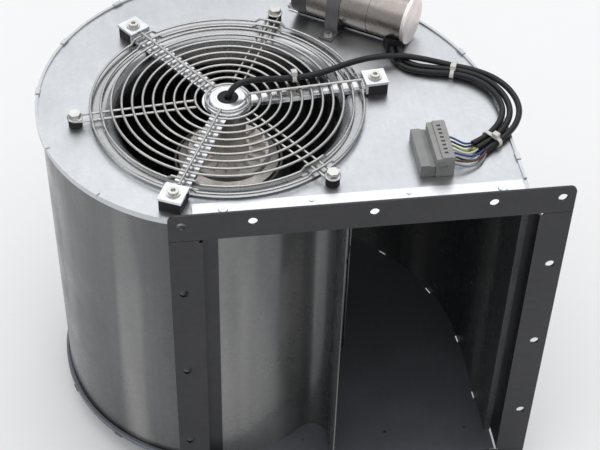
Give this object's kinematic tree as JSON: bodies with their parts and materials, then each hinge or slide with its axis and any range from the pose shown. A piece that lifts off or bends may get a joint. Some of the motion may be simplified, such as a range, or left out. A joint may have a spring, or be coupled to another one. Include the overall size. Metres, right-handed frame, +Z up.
{
  "type": "centrifugal blower",
  "caption": "Double-inlet centrifugal blower with scroll housing, square outlet flange, wire finger guards, external-rotor motor and capacitor.",
  "frame": {"origin": "middle of the outlet frame's front face", "axes": "+X to the right seen from in front of the outlet, +Y into the housing, +Z up along the wheel's axis"},
  "size_m": [0.444, 0.365, 0.3997],
  "materials": {
    "galvanised_sheet": "satin spangled zinc",
    "outlet_frame": "satin zinc, rolled strip",
    "rivet": "satin",
    "inlet_ring": "satin zinc",
    "wheel": "satin zinc, blades",
    "zinc_screw": "bright zinc",
    "rotor_can": "semi-matt black",
    "lamination": "dull",
    "shaft": "ground",
    "windings": "varnished copper wire",
    "motor_flange": "die cast",
    "bearing": "polished",
    "bracket": "bright zinc",
    "damper": "matt",
    "black_rubber": "matt",
    "guard_wire": "bright zinc wire",
    "capacitor_can": "satin drawn can",
    "capacitor_end": "matt",
    "capacitor_cap": "matt black",
    "strap": "semi-matt black",
    "gland": "matt black",
    "connector": "fine texture",
    "header": "fine texture",
    "sheath": "soft PVC",
    "blue_wire": "PVC",
    "black_wire": "PVC",
    "green_wire": "PVC, green and yellow",
    "white_wire": "PVC",
    "brown_wire": "PVC",
    "grey_wire": "PVC",
    "tie": "nylon"
  },
  "bodies": {
    "housing": {"scroll_wrapper": "galvanised_sheet", "top_side_plate": "galvanised_sheet", "bottom_side_plate": "galvanised_sheet", "outlet_frame_top": "outlet_frame", "outlet_frame_bottom": "outlet_frame", "outlet_frame_right": "outlet_frame", "outlet_frame_left": "outlet_frame", "frame_rivets": "rivet", "top_inlet_ring": "inlet_ring", "bottom_inlet_ring": "inlet_ring", "stator_core": "lamination", "stator_windings": "windings", "stator_flange": "motor_flange", "lower_bearing": "bearing", "upper_bearing": "bearing", "motor_bracket": "bracket", "bracket_dampers": "damper", "bracket_screws": "zinc_screw", "cable_grommet": "black_rubber", "top_guard": "guard_wire", "bottom_guard": "guard_wire", "top_guard_spacers": "damper", "bottom_guard_spacers": "damper", "top_guard_screws": "zinc_screw", "bottom_guard_screws": "zinc_screw", "capacitor_can": "capacitor_can", "capacitor_end_cap": "capacitor_end", "capacitor_terminal_cap": "capacitor_cap", "capacitor_strap": "strap", "capacitor_screws": "zinc_screw", "capacitor_bracket": "bracket", "capacitor_gland": "gland", "terminal_plug": "connector", "plug_clamp_screws": "zinc_screw", "motor_lead": "sheath", "capacitor_lead_outer": "sheath", "capacitor_lead_inner": "sheath", "wire_blue_far": "blue_wire", "wire_black_far": "black_wire", "wire_green": "green_wire", "wire_white": "white_wire", "wire_blue_near": "blue_wire", "wire_black_near": "black_wire", "wire_brown": "brown_wire", "wire_grey": "grey_wire", "guard_tie": "tie", "bundle_tie": "tie", "sheath_end_tie": "tie"},
    "wheel": {"upper_blades": "wheel", "lower_blades": "wheel", "upper_end_ring": "wheel", "lower_end_ring": "wheel", "wheel_disc": "wheel", "disc_screws": "zinc_screw", "rotor_can": "rotor_can", "rotor_cage": "lamination", "motor_shaft": "shaft"},
    "header": {"terminal_header": "header"}
  },
  "joints": [
    {"name": "wheel_spin", "type": "hinge", "parent": "housing", "child": "wheel", "pos_m": [-0.104, 0.167, 0], "axis": [0, 0, 1], "continuous": true},
    {"name": "header_unplug", "type": "slide", "parent": "housing", "child": "header", "axis": [-1, 0, 0], "range_m": [0, 0.01]}
  ]
}
